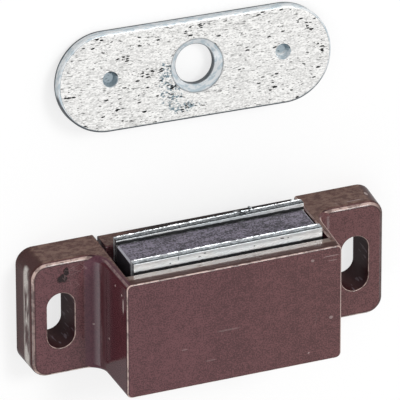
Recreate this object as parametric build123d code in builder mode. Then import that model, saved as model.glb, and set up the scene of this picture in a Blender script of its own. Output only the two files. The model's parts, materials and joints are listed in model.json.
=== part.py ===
"""Magnetic catch for a cupboard door, with its loose strike plate.

The catch is a moulded housing with two slotted ears.  A magnet between two steel pole
plates floats in its pocket and stands out of the mouth.  A back cover closes the pocket.

Frame, in millimetres: the mounting face is z = 0 and the origin is its centre.
+X runs along the ears, +Y points out of the mouth, and +Z points away from the cupboard wall.
The strike plate lies on the same surface as the catch, beyond the mouth.
"""

from build123d import *
from math import atan2, cos, radians, sin, tan
import os

# ---------------------------------------------------------------- housing
overall_length = 58.0       # over both ears, at the mounting face
housing_height = 19.6       # from the closed end to the mouth, along Y
housing_depth = 16.8        # from the mounting face to the front face
ear_length = 11.2           # from the deep middle block to an ear's end, at the mounting face
ear_thickness = 6.1
side_draft = 2.1            # degrees, on the block's two sides
ear_end_draft = 3.0         # degrees, on the ears' outer ends
ear_corner_radius = 2.6
web_radius = 2.6            # concave, where an ear meets the block
block_bottom_radius = 0.9
edge_radius = 0.4
mouth_chamfer = 0.2

front_wall = 2.85
bottom_wall = 1.6
end_wall = 1.4              # at the mounting face

# ---------------------------------------------------------------- screw slots
slot_from_end = 5.0         # slot centre to the ear's end
slot_width = 4.4
slot_length = 9.4
slot_drop = 0.4             # slot centres below the ears' middle
slot_edge_radius = 0.25

# ---------------------------------------------------------------- magnet pack
pole_thickness = 1.4
pole_proud = 1.68           # pole tips beyond the housing's mouth
pole_end_play = 1.15        # pole plates to the pocket's end walls, each side
pole_edge = 0.18
magnet_below_tips = 0.84
magnet_above_feet = 2.56    # the magnet stops short of the pole plates' inner ends
magnet_inset = 0.05         # and of their two side ends
magnet_edge = 0.25
pack_front_gap = 0.35       # front pole plate to the front wall
pack_back_gap = 0.4         # rear pole plate to the back cover
pack_foot_gap = 0.3         # left under the pack when it is pushed right in
magnet_shift = 0.35         # along X: the loose pack sits off centre
front_pole_shift = 0.25     # and each plate has settled a little differently on it
rear_pole_shift = 0.55
front_pole_lean = 0.35      # degrees, each plate sits a little askew on the magnet
rear_pole_lean = 0.75

# ---------------------------------------------------------------- pack retention
float_travel = 1.0          # how far the pack can be pushed into the housing
rib_height = 2.0
rib_below_mouth = 3.6       # mouth to the near side of the ribs
rib_reach = 2.2             # from the pocket's end walls
rib_slack = 0.3             # between a rib and the notch it sits in, at each stop
rib_gap = 0.25              # a rib or tab to the magnet, and to the end of its notch

# ---------------------------------------------------------------- back cover
cover_depth = 3.8
cover_panel = 1.4
cover_wall = 1.3
cover_end_gap = 0.6
cover_low = 0.26            # cover's rim below the housing's mouth
cover_foot_gap = 0.15
cover_rib = 1.2
cover_ribs = 2
cover_edge = 0.3
snap_width = 5.0
snap_height = 1.0
snap_bite = 0.5             # into the housing's end walls
snap_clearance = 0.12
snap_land = 0.3             # flat outer edge of a snap

# ---------------------------------------------------------------- strike plate
strike_length = 44.0
strike_width = 15.45
strike_thickness = 2.0
strike_edge = 0.2           # back rim, deburred
strike_roll = 0.45          # front rim, rolled over by the die that punched it
strike_hole = 6.2
strike_countersink = 8.4
pip_spacing = 27.8
pip_radius = 1.15
pip_tip_radius = 0.45
pip_height = 1.22
dimple_radius = 1.25
dimple_floor_radius = 0.8
dimple_depth = 1.1
punch_shift_x = 0.25        # hole, pips and dimples off the plate's middle, along it
punch_shift_y = 0.5         # and across it
strike_gap = 17.2           # clear space between the pole tips and the loose plate
strike_shift = -1.0         # along X
strike_turn = -1.3          # degrees

os.makedirs("parts", exist_ok=True)

# ---------------------------------------------------------------- worked-out places
block_length = overall_length - 2 * ear_length
mouth_y = housing_height / 2
floor_y = -mouth_y + bottom_wall
pocket_length = block_length - 2 * end_wall
pocket_end_x = pocket_length / 2
pocket_front_z = housing_depth - front_wall
slot_spacing = overall_length - 2 * slot_from_end

tip_y = mouth_y + pole_proud
foot_y = floor_y + float_travel + pack_foot_gap
pole_height = tip_y - foot_y
pole_length = pocket_length - 2 * pole_end_play
magnet_length = pole_length - 2 * magnet_inset
magnet_top_y = tip_y - magnet_below_tips
magnet_bottom_y = foot_y + magnet_above_feet
front_pole_z = pocket_front_z - pack_front_gap          # outer face of the front pole plate
magnet_front_z = front_pole_z - pole_thickness
rear_pole_z = cover_depth + pack_back_gap               # outer face of the rear pole plate
magnet_back_z = rear_pole_z + pole_thickness

rib_top_y = mouth_y - rib_below_mouth
rib_bottom_y = rib_top_y - rib_height
notch_top_y = rib_top_y + float_travel + rib_slack
notch_bottom_y = rib_bottom_y - rib_slack
pole_shift = max(abs(front_pole_shift), abs(rear_pole_shift))
notch_depth = rib_reach - pole_end_play + pole_shift + rib_gap
ear_x = overall_length / 2
ear_front_x = ear_x - ear_thickness * tan(radians(ear_end_draft))
root_x = block_length / 2
nose_x = root_x - (housing_depth - ear_thickness) * tan(radians(side_draft))
rib_back_z = magnet_front_z + rib_gap
cover_length = pocket_length - 2 * cover_end_gap
cover_top_y = mouth_y - cover_low
cover_bottom_y = floor_y + cover_foot_gap
snap_z = (cover_panel + cover_depth - snap_height) / 2
tab_width = rib_reach - cover_end_gap
tab_top_z = magnet_back_z - rib_gap
strike_y = tip_y + strike_gap + strike_width / 2
TOUCH = 0.01                # two places closer than this are the same place


def edges_on_plane(part, axis, place):
    """Edges that lie flat in the plane at this place along an axis."""
    return part.edges().filter_by_position(axis, place - TOUCH, place + TOUCH)


def upright_edges(part, low_x, high_x):
    """Straight edges that run from back to front, between two distances from the middle."""
    return [
        e for e in part.edges().filter_by(GeomType.LINE)
        if low_x <= abs(e.center().X) <= high_x
        and abs(e.tangent_at(0.5).Z) > 0.9
    ]


# ---------------------------------------------------------------- housing
with BuildPart() as housing:
    # hat-shaped section, drawn looking along -Y and extruded from the mouth to the closed end
    with BuildSketch(Plane.XZ.offset(-mouth_y)) as hat:
        with BuildLine():
            Polyline(
                (-ear_x, 0),
                (ear_x, 0),
                (ear_front_x, ear_thickness),
                (root_x, ear_thickness),
                (nose_x, housing_depth),
                (-nose_x, housing_depth),
                (-root_x, ear_thickness),
                (-ear_front_x, ear_thickness),
                close=True,
            )
        make_face()
        webs = [v for v in hat.vertices() if abs(abs(v.X) - root_x) < TOUCH]
        fillet(webs, web_radius)
    extrude(amount=housing_height)

    # rounded ear ends, and the block's softer corners at the closed end
    fillet(upright_edges(housing, ear_front_x - TOUCH, ear_x + TOUCH), ear_corner_radius)
    closed_end = [e for e in upright_edges(housing, 0, root_x + TOUCH) if e.center().Y < 0]
    fillet(closed_end, block_bottom_radius)

    # every outer edge but those on the mounting face is eased
    front_rim = edges_on_plane(housing, Axis.Z, housing_depth)
    long_rims = [
        e for y in (mouth_y, -mouth_y) for e in edges_on_plane(housing, Axis.Y, y)
        if TOUCH < e.center().Z < housing_depth - TOUCH
    ]
    ear_rims = [
        e for e in edges_on_plane(housing, Axis.Z, ear_thickness)
        if abs(e.center().X) > ear_front_x - ear_corner_radius
    ]
    fillet(front_rim + long_rims + ear_rims, edge_radius)

    # pocket, open at the mouth and at the mounting face
    with BuildSketch(Plane.XY):
        with Locations((0, (floor_y + mouth_y) / 2)):
            Rectangle(pocket_length, mouth_y - floor_y)
    extrude(amount=pocket_front_z, mode=Mode.SUBTRACT)

    # its rim at the mouth is chamfered
    with BuildSketch(Plane.XZ.offset(-mouth_y)):
        with Locations((0, pocket_front_z / 2)):
            Rectangle(pocket_length + 2 * mouth_chamfer, pocket_front_z + 2 * mouth_chamfer)
    extrude(amount=mouth_chamfer, taper=45, mode=Mode.SUBTRACT)

    # screw slots
    with BuildSketch(Plane.XY):
        with Locations((-slot_spacing / 2, -slot_drop), (slot_spacing / 2, -slot_drop)):
            SlotOverall(slot_length, slot_width, rotation=90)
    extrude(amount=ear_thickness, mode=Mode.SUBTRACT)
    slot_rims = [
        e for e in edges_on_plane(housing, Axis.Z, ear_thickness)
        if abs(abs(e.center().X) - slot_spacing / 2) < slot_width / 2 + TOUCH
        and abs(e.center().Y + slot_drop) < slot_length / 2 + TOUCH
    ]
    fillet(slot_rims, slot_edge_radius)

    # two ribs beside the front wall, one in each end notch of the front pole plate
    with BuildSketch(Plane.XY.offset(rib_back_z)):
        for side in (-1, 1):
            with Locations((side * (pocket_end_x - rib_reach / 2), (rib_top_y + rib_bottom_y) / 2)):
                Rectangle(rib_reach, rib_height)
    extrude(amount=pocket_front_z - rib_back_z)

    # grooves that the back cover snaps into
    groove_length = pocket_length + 2 * (snap_bite + snap_clearance)
    with BuildSketch(Plane.XY.offset(snap_z - snap_clearance)):
        Rectangle(groove_length, snap_width + 2 * snap_clearance)
    extrude(amount=snap_height + 2 * snap_clearance, mode=Mode.SUBTRACT)

housing.part.label = "housing"
export_step(housing.part, "parts/housing.step")


# ---------------------------------------------------------------- back cover
with BuildPart() as back_cover:
    with BuildSketch(Plane.XY):
        with Locations((0, (cover_bottom_y + cover_top_y) / 2)):
            Rectangle(cover_length, cover_top_y - cover_bottom_y)
    extrude(amount=cover_depth)
    rim = back_cover.edges().filter_by_position(Axis.Y, cover_top_y - TOUCH, cover_top_y + TOUCH)
    fillet(rim.filter_by(Axis.X), cover_edge)

    # the tray's hollow, open towards the magnet, with ribs left standing in it
    bay = (cover_length - 2 * cover_wall - cover_ribs * cover_rib) / (cover_ribs + 1)
    with BuildSketch(Plane.XY.offset(cover_panel)):
        with Locations((0, (cover_bottom_y + cover_top_y) / 2)):
            with GridLocations(bay + cover_rib, 1, cover_ribs + 1, 1):
                Rectangle(bay, cover_top_y - cover_bottom_y - 2 * cover_wall)
    extrude(amount=cover_depth - cover_panel, mode=Mode.SUBTRACT)

    # tabs that stand in the end notches of the rear pole plate
    with BuildSketch(Plane.XY.offset(cover_panel)):
        for side in (-1, 1):
            with Locations((side * (cover_length - tab_width) / 2, (rib_top_y + rib_bottom_y) / 2)):
                Rectangle(tab_width, rib_height)
    extrude(amount=tab_top_z - cover_panel)

    # a snap on each end: square at the back, sloped where it enters
    for side in (-1, 1):
        with BuildSketch(Plane.XZ.offset(-snap_width / 2)):
            with BuildLine():
                Polyline(
                    (side * (cover_length / 2 - TOUCH), snap_z),
                    (side * (pocket_end_x + snap_bite), snap_z),
                    (side * (pocket_end_x + snap_bite), snap_z + snap_land),
                    (side * cover_length / 2, snap_z + snap_height),
                    (side * (cover_length / 2 - TOUCH), snap_z + snap_height),
                    close=True,
                )
            make_face()
        extrude(amount=snap_width)

back_cover.part.label = "back_cover"
export_step(back_cover.part, "parts/back_cover.step")


# ---------------------------------------------------------------- magnet
with BuildPart() as magnet:
    with BuildSketch(Plane.XY.offset(magnet_back_z)):
        with Locations((magnet_shift, (magnet_top_y + magnet_bottom_y) / 2)):
            Rectangle(magnet_length, magnet_top_y - magnet_bottom_y)
    extrude(amount=magnet_front_z - magnet_back_z)
    chamfer(magnet.edges(), magnet_edge)

magnet.part.label = "magnet"
export_step(magnet.part, "parts/magnet.step")


# ---------------------------------------------------------------- pole plates
def pole_plane(back_z, shift, lean):
    """Plane on the back of a pole plate, turned a little about its own middle."""
    turn = radians(lean)
    middle = (shift, (tip_y + foot_y) / 2, back_z)
    return Plane(origin=middle, x_dir=(cos(turn), sin(turn), 0), z_dir=(0, 0, 1))


def pole_plate(back_z, shift, lean):
    """A flat steel pole plate with a notch in each end."""
    notch_y = (notch_top_y + notch_bottom_y - tip_y - foot_y) / 2
    with BuildPart() as plate:
        with BuildSketch(pole_plane(back_z, shift, lean)):
            Rectangle(pole_length, pole_height)
            for side in (-1, 1):
                with Locations((side * (pole_length - notch_depth) / 2, notch_y)):
                    Rectangle(notch_depth, notch_top_y - notch_bottom_y, mode=Mode.SUBTRACT)
        extrude(amount=pole_thickness)
        tip = plate.edges().filter_by(
            lambda e: e.center().Y > tip_y - pole_edge and e.length > pole_length / 2
        )
        fillet(tip, pole_edge)
    return plate


front_pole_plate = pole_plate(magnet_front_z, front_pole_shift, front_pole_lean)
front_pole_plate.part.label = "front_pole_plate"
export_step(front_pole_plate.part, "parts/front_pole_plate.step")

rear_pole_plate = pole_plate(rear_pole_z, rear_pole_shift, rear_pole_lean)
rear_pole_plate.part.label = "rear_pole_plate"
export_step(rear_pole_plate.part, "parts/rear_pole_plate.step")


# ---------------------------------------------------------------- strike plate
# The plate lies on its two pips and on its far long edge, so it rests at a slant.
pip_side = punch_shift_y + pip_tip_radius               # side of a pip's tip that bears
reach = strike_width / 2 - strike_edge - pip_side       # from there to that edge
slant = atan2(pip_height, reach)
lift = pip_side * sin(slant) + pip_height * cos(slant)
turn = radians(strike_turn)
strike_back = Plane(
    origin=(strike_shift, strike_y, lift),
    x_dir=(cos(turn), sin(turn), 0),
    z_dir=(-sin(turn) * sin(slant), cos(turn) * sin(slant), cos(slant)),
)
through = Axis(origin=strike_back.origin, direction=strike_back.z_dir)
pip_places = [(punch_shift_x + side * pip_spacing / 2, punch_shift_y, 0) for side in (-1, 1)]

with BuildPart() as strike_plate:
    with BuildSketch(strike_back):
        SlotOverall(strike_length, strike_width)
    extrude(amount=strike_thickness)
    fillet(strike_plate.faces().sort_by(through)[-1].edges(), strike_roll)
    chamfer(strike_plate.faces().sort_by(through)[0].edges(), strike_edge)

    # pips on the back keep the plate from turning on its screw
    with Locations(strike_back):
        with Locations(*pip_places):
            Cone(
                pip_tip_radius,
                pip_radius,
                pip_height,
                align=(Align.CENTER, Align.CENTER, Align.MAX),
            )

    # the punch that raised each pip left a dimple in front of it
    with Locations(strike_back.offset(strike_thickness)):
        with Locations(*pip_places):
            Cone(
                dimple_floor_radius,
                dimple_radius,
                dimple_depth,
                align=(Align.CENTER, Align.CENTER, Align.MAX),
                mode=Mode.SUBTRACT,
            )
        with Locations((punch_shift_x, punch_shift_y, 0)):
            CounterSinkHole(strike_hole / 2, strike_countersink / 2, counter_sink_angle=90)

strike_plate.part.label = "strike_plate"
export_step(strike_plate.part, "parts/strike_plate.step")
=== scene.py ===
"""Finishes, stage and camera for the magnetic cupboard catch and its strike plate.

The solids come from the CAD frame, in metres: the mounting face is z = 0, +X runs along the
two ears and +Y points out of the magnet's mouth.  Every finish here is made from nodes.
"""

import json
from math import cos, radians, sin

import bpy
from mathutils import Matrix, Vector, noise as ragged_noise


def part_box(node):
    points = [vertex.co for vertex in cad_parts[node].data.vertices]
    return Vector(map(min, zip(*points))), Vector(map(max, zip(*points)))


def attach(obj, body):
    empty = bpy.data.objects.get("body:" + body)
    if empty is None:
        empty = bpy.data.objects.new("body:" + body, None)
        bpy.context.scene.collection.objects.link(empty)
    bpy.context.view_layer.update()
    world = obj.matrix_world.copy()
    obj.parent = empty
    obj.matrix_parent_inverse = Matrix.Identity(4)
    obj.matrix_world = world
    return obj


bl_info = {
    "name": "Magnetic Cupboard Catch",
    "version": (1, 0, 0),
    "blender": (4, 5, 0),
    "location": "View3D > Sidebar > Catch",
    "description": "Dresses the magnetic catch and its strike plate, and sets the stage",
    "category": "Object",
}

MM = 0.001
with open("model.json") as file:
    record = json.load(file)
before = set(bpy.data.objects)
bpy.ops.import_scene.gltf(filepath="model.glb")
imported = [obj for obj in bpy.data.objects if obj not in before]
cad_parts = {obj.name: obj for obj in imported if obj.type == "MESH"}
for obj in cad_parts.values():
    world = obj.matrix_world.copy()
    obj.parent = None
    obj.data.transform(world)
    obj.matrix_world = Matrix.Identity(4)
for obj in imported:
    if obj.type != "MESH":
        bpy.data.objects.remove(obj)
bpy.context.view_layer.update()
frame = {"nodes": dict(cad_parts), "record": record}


def node_points(name):
    """The corners of a CAD node's mesh, in millimetres."""
    return [vertex.co / MM for vertex in frame["nodes"][name].data.vertices]


def node_box(name):
    """Lowest and highest corner of a CAD node, in millimetres."""
    low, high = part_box(name)
    return Vector(low) / MM, Vector(high) / MM


# ------------------------------------------------------------------ places, in millimetres
HOUSING_HIGH = node_box("housing")[1]
FRONT = HOUSING_HIGH.z              # the block's front face
MOUTH = HOUSING_HIGH.y
POLE_FRONT = node_box("front_pole_plate")[1].z
MAGNET_LOW, MAGNET_HIGH = node_box("magnet")
EAR_END = 3.0                       # the last part of each ear, beyond its slot
EAR_TOP = max(p.z for p in node_points("housing") if p.x > HOUSING_HIGH.x - EAR_END)
BLOCK_END = HOUSING_HIGH.x - 11.2   # from the middle to the block's sides, beside the ears
POCKET_END = BLOCK_END - 1.4        # and to the pocket's end walls
SLOT_MIDDLE = HOUSING_HIGH.x - 5.0
ROUNDING = 0.4                      # of the housing's edges
MOUNTS = {mount["name"]: mount for mount in frame["record"]["mounts"]}
BORE = MOUNTS["strike_screw_hole"]
PLATE_NORMAL = Vector(BORE["axis"])  # the strike plate lies at a slant
BORE_TO_FACE = 1.55                 # from the middle of its bore to its front face
HOLE = Vector(BORE["pos_m"]) / MM + BORE_TO_FACE * PLATE_NORMAL
HOLE_RADIUS = BORE["dims"]["r_mm"]
DIMPLE_REACH = 13.9                 # from the hole to each dimple
NICKS = (                           # middle, reach and strength of each pale nick in the moulding
    ((15.7, 8.25, FRONT), (1.2, 0.10, 0.4), 0.28),
    ((15.9, 7.45, FRONT), (0.9, 0.09, 0.4), 0.20),
    ((12.6, 8.00, FRONT), (0.3, 0.25, 0.4), 0.30),
    ((15.7, -2.40, FRONT), (0.35, 0.30, 0.4), 0.30),
    ((-1.1, -1.10, FRONT), (2.2, 0.16, 0.4), 0.12),
    ((-8.2, -3.10, FRONT), (0.5, 0.16, 0.4), 0.14),
    ((-3.9, -5.80, FRONT), (1.0, 0.14, 0.4), 0.12),
    ((-17.6, 7.60, 12.3), (0.4, 0.20, 0.22), 0.90),
    ((-17.6, 7.20, 14.8), (0.4, 0.22, 0.25), 0.90),
    ((-17.6, -2.90, 9.8), (0.4, 0.20, 0.22), 0.80),
    ((-17.6, 5.60, 15.3), (0.4, 1.50, 0.22), 0.95),
    ((-19.2, -1.80, 6.6), (0.5, 0.20, 0.20), 0.50),
    ((27.0, MOUTH, 3.1), (0.30, 0.4, 0.55), 0.60),
    ((24.4, MOUTH, 4.6), (1.80, 0.4, 0.12), 0.35),
)
POLE_MARKS = (                      # middle and reach of each dark mark on the front pole plate
    ((-9.2, 10.35, POLE_FRONT), (0.16, 0.14, 0.4)),
    ((-3.6, 11.00, POLE_FRONT), (0.24, 0.13, 0.4)),
    ((4.4, 10.60, POLE_FRONT), (0.14, 0.12, 0.4)),
    ((9.9, 10.90, POLE_FRONT), (0.20, 0.12, 0.4)),
    ((-7.9, 11.00, POLE_FRONT), (0.10, 0.55, 0.4)),
)
DASHED = (                          # middle and reach of each string of dashes on the strike plate
    ((-8.0, 37.4), (2.8, 0.80)),
    ((-0.7, 43.1), (2.6, 0.60)),
    ((-5.2, 34.2), (0.9, 1.50)),
    ((-3.0, 31.1), (2.2, 0.60)),
    ((11.6, 31.4), (1.8, 0.80)),
    ((15.2, 29.3), (1.4, 0.60)),
    ((17.9, 40.2), (0.9, 1.30)),
    ((19.3, 36.8), (0.7, 1.60)),
    ((-12.4, 40.5), (1.6, 0.40)),
    ((-20.8, 36.0), (1.8, 0.50)),
    ((-14.4, 32.6), (1.8, 0.40)),
)

# burrs and sliver on the pole plates, in millimetres
BURR_TEETH = 180                    # steps along each burr
BURR_MARGIN = 0.5                   # clear of the plate's ends
BURR_ROOT = 0.14                    # below the plate's tip
BURR_INSET = 0.20                   # in front of the plate's back face
BURR_WALL = 0.10
SLIVER_RADIUS = 0.11

# the floor
FLOOR_GAP = 0.00002                 # metres, under the catch
FLOOR_SHADE = 0.34                  # of its colour, as the camera and reflections see it
FLOOR_GLOW = 0.72                   # its own light, to the camera
FLOOR_REFLECTED = 0.25              # and the part of that which reflections see


# ------------------------------------------------------------------ tints laid over the base colours
LIT_TOP_DARK = (0.095, 0.042, 0.030)   # the moulding's upper faces, painted lighter as painted light from above, between these two
LIT_TOP_LIGHT = (0.240, 0.145, 0.108)
TOWARDS_RIGHT = (1.07, 1.13, 0.99)  # lightens the moulding
# painted reflection of the pole plate on the front wall's inner half
POLE_REFLECTION_PALE = (0.28, 0.23, 0.20)
# the front wall's outer half, painted dark as a painted reflection
LIP_DARK_REFLECTION_RED = (0.060, 0.018, 0.014)
# painted shade on the cover's top behind the rear plate
COVER_SHADE_BLACK = (0.010, 0.004, 0.004)
# the block's left side, painted darker as painted shade
LEFT_SIDE_SHADE_RED = (0.078, 0.014, 0.022)
# the left web between block and ear, painted darker as painted shade
WEB_SHADE_PURPLE = (0.095, 0.028, 0.052)
FINE_SCRATCH = (0.35, 0.24, 0.24)
# the ears' ends and corners, painted darker as painted shade
END_SHADE_BROWN = (0.052, 0.013, 0.010)
# a painted reflection down the middle of each ear's end
END_REFLECTION_PALE = (0.66, 0.61, 0.57)
# the screw slots' insides, painted dark as painted shade
SLOT_SHADE_DARK = (0.050, 0.009, 0.013)
DRAG_PALE = (0.30, 0.24, 0.28)
# the edges' small roundings, painted dark as painted shade
RIM_SHADE_DARK = (0.022, 0.007, 0.008)
# a painted highlight along the edges' crests
CREST_HIGHLIGHT_PALE = (0.68, 0.50, 0.45)
NICK_PALE = (0.62, 0.50, 0.48)
DUST_PALE = (0.50, 0.38, 0.37)
# the magnet's end faces, painted black as painted shade
FERRITE_END_SHADE = (0.012, 0.010, 0.013)
# a painted highlight on the magnet's edges above its ends
END_EDGE_HIGHLIGHT_PALE = (0.60, 0.60, 0.66)
# painted shade in the seams beside the magnet and the pole plates
SEAM_SHADE_BLACK = (0.006, 0.006, 0.008)
CLOUD_BLUE = (0.72, 0.79, 0.82)
CREASE_DARK = (0.10, 0.12, 0.13)
GRIT_DARK = (0.015, 0.015, 0.020)
# a painted highlight along the back of the pole plates' tips
BURR_HIGHLIGHT_BRIGHT = (0.95, 0.97, 1.0)
# the pole plates' rolled front roundings, painted dark as painted shade
ROLLED_SHADE_DARK = (0.06, 0.065, 0.07)
DASH_DARK = (0.04, 0.04, 0.045)
SCUFF_BLUE = (0.20, 0.27, 0.31)
STREAK_BLUE = (0.62, 0.72, 0.78)    # the strike plate's rim and sides, between these two
STREAK_PALE = (0.93, 0.96, 0.98)
# painted shade in dark lines on the strike plate's rim, sides and hole
EDGE_SHADE_DARK = (0.06, 0.075, 0.09)
DIMPLE_BLUE = (0.26, 0.34, 0.39)
PIT_BLACK = (0.006, 0.007, 0.008)


# ------------------------------------------------------------------ settings
class CatchFinishes(bpy.types.PropertyGroup):
    """Colours and roughness of the catch's finishes."""

    moulding_colour: bpy.props.FloatVectorProperty(
        name="Moulding",
        description="Brown of the housing and its back cover",
        subtype="COLOR",
        default=(0.120, 0.049, 0.055),
        min=0.0,
        max=1.0,
    )
    moulding_roughness: bpy.props.FloatProperty(
        name="Moulding Roughness",
        description="Roughness of the housing's gloss",
        subtype="FACTOR",
        default=0.12,
        min=0.0,
        max=1.0,
    )
    ferrite_colour: bpy.props.FloatVectorProperty(
        name="Ferrite",
        description="Grey of the magnet's ground face",
        subtype="COLOR",
        default=(0.135, 0.121, 0.154),
        min=0.0,
        max=1.0,
    )
    steel_colour: bpy.props.FloatVectorProperty(
        name="Pole Steel",
        description="Plated face of the pole plates",
        subtype="COLOR",
        default=(0.91, 0.92, 0.91),
        min=0.0,
        max=1.0,
    )
    sheared_colour: bpy.props.FloatVectorProperty(
        name="Sheared Edges",
        description="Edges of the pole plates, as the shear left them",
        subtype="COLOR",
        default=(0.36, 0.39, 0.41),
        min=0.0,
        max=1.0,
    )
    burr_height: bpy.props.FloatProperty(
        name="Burr Height",
        description="How far the pole plates' burrs stand up",
        unit="LENGTH",
        default=0.00010,
        min=0.0,
    )
    zinc_colour: bpy.props.FloatVectorProperty(
        name="Zinc",
        description="Plated face of the strike plate",
        subtype="COLOR",
        default=(0.855, 0.850, 0.835),
        min=0.0,
        max=1.0,
    )


class CatchStage(bpy.types.PropertyGroup):
    """Floor, lamps and camera."""

    floor_size: bpy.props.FloatProperty(
        name="Floor Size",
        description="Side of the square floor",
        unit="LENGTH",
        default=4.0,
        min=0.5,
    )
    floor_colour: bpy.props.FloatVectorProperty(
        name="Floor Colour",
        description="Colour of the pale floor",
        subtype="COLOR",
        default=(0.86, 0.86, 0.86),
        min=0.0,
        max=1.0,
    )
    sky_above: bpy.props.FloatProperty(
        name="Sky Above",
        description="Strength of the even light from straight above",
        default=1.0,
        min=0.0,
    )
    sky_horizon: bpy.props.FloatProperty(
        name="Sky at Horizon",
        description="Strength of the even light from the horizon",
        default=0.30,
        min=0.0,
    )
    low_light: bpy.props.FloatProperty(
        name="Low Light",
        description="Strength of the light low at the left, at the horizon",
        default=2.5,
        min=0.0,
    )
    key_power: bpy.props.FloatProperty(
        name="Key Power",
        description="Power of the soft lamp beyond the mouth, in watts",
        default=3.6,
        min=0.0,
    )
    side_power: bpy.props.FloatProperty(
        name="Side Power",
        description="Power of the soft lamp at the right, in watts",
        default=0.35,
        min=0.0,
    )
    turn: bpy.props.FloatProperty(
        name="Turn",
        description="Camera's turn to the left of the catch's front face",
        subtype="ANGLE",
        default=radians(-21.37),
    )
    rise: bpy.props.FloatProperty(
        name="Rise",
        description="Camera's angle above the catch's front face, towards the mouth",
        subtype="ANGLE",
        default=radians(28.67),
    )
    roll: bpy.props.FloatProperty(
        name="Roll",
        description="Camera's roll",
        subtype="ANGLE",
        default=radians(-0.13),
    )
    distance: bpy.props.FloatProperty(
        name="Distance",
        description="From the camera to the point it looks at",
        unit="LENGTH",
        default=1.1467,
        min=0.1,
    )
    look_at: bpy.props.FloatVectorProperty(
        name="Look At",
        description="Point in the middle of the view",
        subtype="TRANSLATION",
        unit="LENGTH",
        default=(-0.00249, 0.01742, 0.00877),
    )
    lens: bpy.props.FloatProperty(
        name="Lens",
        description="Focal length, in millimetres, on a sensor 36 mm wide",
        default=685.7,
        min=10.0,
    )


# ------------------------------------------------------------------ node helpers
def add_node(tree, kind, inputs=None, **settings):
    """Add a node; inputs are plain values or other nodes' output sockets."""
    made = tree.nodes.new(kind)
    for name, value in settings.items():
        setattr(made, name, value)
    for name, value in (inputs or {}).items():
        if isinstance(value, bpy.types.NodeSocket):
            tree.links.new(value, made.inputs[name])
        else:
            made.inputs[name].default_value = value
    return made


def math_node(tree, operation, first, second=0.0):
    """A Math node's output socket."""
    return add_node(tree, "ShaderNodeMath", {0: first, 1: second}, operation=operation).outputs[0]


def vector_node(tree, operation, first, second=(0.0, 0.0, 0.0), result="Vector"):
    """A Vector Math node's output socket."""
    made = add_node(tree, "ShaderNodeVectorMath", {0: first, 1: second}, operation=operation)
    return made.outputs[result]


def split(tree, vector):
    """A vector's parts, named X, Y and Z."""
    return add_node(tree, "ShaderNodeSeparateXYZ", {0: vector}).outputs


def stretched(tree, vector, stretch, offset=(0.0, 0.0, 0.0)):
    """Coordinates scaled by a different amount along each axis."""
    inputs = {0: vector, 1: stretch, 2: offset}
    return add_node(tree, "ShaderNodeVectorMath", inputs, operation="MULTIPLY_ADD").outputs[0]


def ramp(tree, value, low, high, start=0.0, end=1.0):
    """A smooth step of value, from start at low to end at high."""
    made = add_node(
        tree,
        "ShaderNodeMapRange",
        {"Value": value, "From Min": low, "From Max": high, "To Min": start, "To Max": end},
        interpolation_type="SMOOTHSTEP",
    )
    return made.outputs["Result"]


def noise(tree, vector, scale, detail=2.0, roughness=0.5):
    """A noise texture's value, from 0 to 1."""
    inputs = {"Vector": vector, "Scale": scale, "Detail": detail, "Roughness": roughness}
    return add_node(tree, "ShaderNodeTexNoise", inputs).outputs["Fac"]


def wobble(tree, vector, scale, detail, amount):
    """Noise about zero, up to half the amount to either side."""
    centred = math_node(tree, "SUBTRACT", noise(tree, vector, scale, detail), 0.5)
    return math_node(tree, "MULTIPLY", centred, amount)


def rgba(colour, scale=1.0):
    """A colour with full alpha, lightened or darkened."""
    return (*(min(c * scale, 1.0) for c in colour[:3]), 1.0)


def mix_colour(tree, factor, first, second, blend="MIX"):
    """A colour Mix node's output socket."""
    inputs = {0: factor, 6: first, 7: second}
    return add_node(tree, "ShaderNodeMix", inputs, data_type="RGBA", blend_type=blend).outputs[2]


def paint(tree, base, mask, strength, colour):
    """The base colour with another one laid over it where the mask says."""
    over = colour if isinstance(colour, bpy.types.NodeSocket) else rgba(colour)
    return mix_colour(tree, math_node(tree, "MULTIPLY", mask, strength), base, over)


def bump(tree, height, distance, strength):
    """A bump's normal; distance in millimetres."""
    inputs = {"Height": height, "Distance": distance * MM, "Strength": strength}
    return add_node(tree, "ShaderNodeBump", inputs).outputs["Normal"]


# ------------------------------------------------------------------ sums and masks
def add_up(tree, *terms):
    """The sum of (value, weight) pairs."""
    total = 0.0
    for value, weight in terms:
        total = math_node(tree, "ADD", math_node(tree, "MULTIPLY", value, weight), total)
    return total


def product(tree, *masks):
    """Several masks together."""
    total = masks[0]
    for mask in masks[1:]:
        total = math_node(tree, "MULTIPLY", total, mask)
    return total


def biggest(tree, *masks):
    """The largest of several masks."""
    total = masks[0]
    for mask in masks[1:]:
        total = math_node(tree, "MAXIMUM", total, mask)
    return total


def absolute(tree, value):
    """A value without its sign."""
    return math_node(tree, "ABSOLUTE", value)


def below(tree, value, low, high):
    """1 where a value lies below low, fading to 0 at high."""
    return ramp(tree, value, low, high, 1.0, 0.0)


def near(tree, value, target, inner, outer):
    """1 where a value is within inner of its target, fading to 0 at outer."""
    return below(tree, absolute(tree, math_node(tree, "SUBTRACT", value, target)), inner, outer)


def between(tree, value, low, high, fade=0.2):
    """1 where a value lies from low to high, fading outside them."""
    return product(tree, ramp(tree, value, low - fade, low), below(tree, value, high, high + fade))


# ------------------------------------------------------------------ shared effects
def new_group(name, inputs, outputs):
    """An empty shader node group with float and vector sockets."""
    kinds = {"float": "NodeSocketFloat", "vector": "NodeSocketVector"}
    group = bpy.data.node_groups.new(name, "ShaderNodeTree")
    for label, kind, value in inputs:
        socket = group.interface.new_socket(label, in_out="INPUT", socket_type=kinds[kind])
        if value is not None:
            socket.default_value = value
    for label, kind in outputs:
        group.interface.new_socket(label, in_out="OUTPUT", socket_type=kinds[kind])
    return group, group.nodes.new("NodeGroupInput").outputs, group.nodes.new("NodeGroupOutput").inputs


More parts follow.
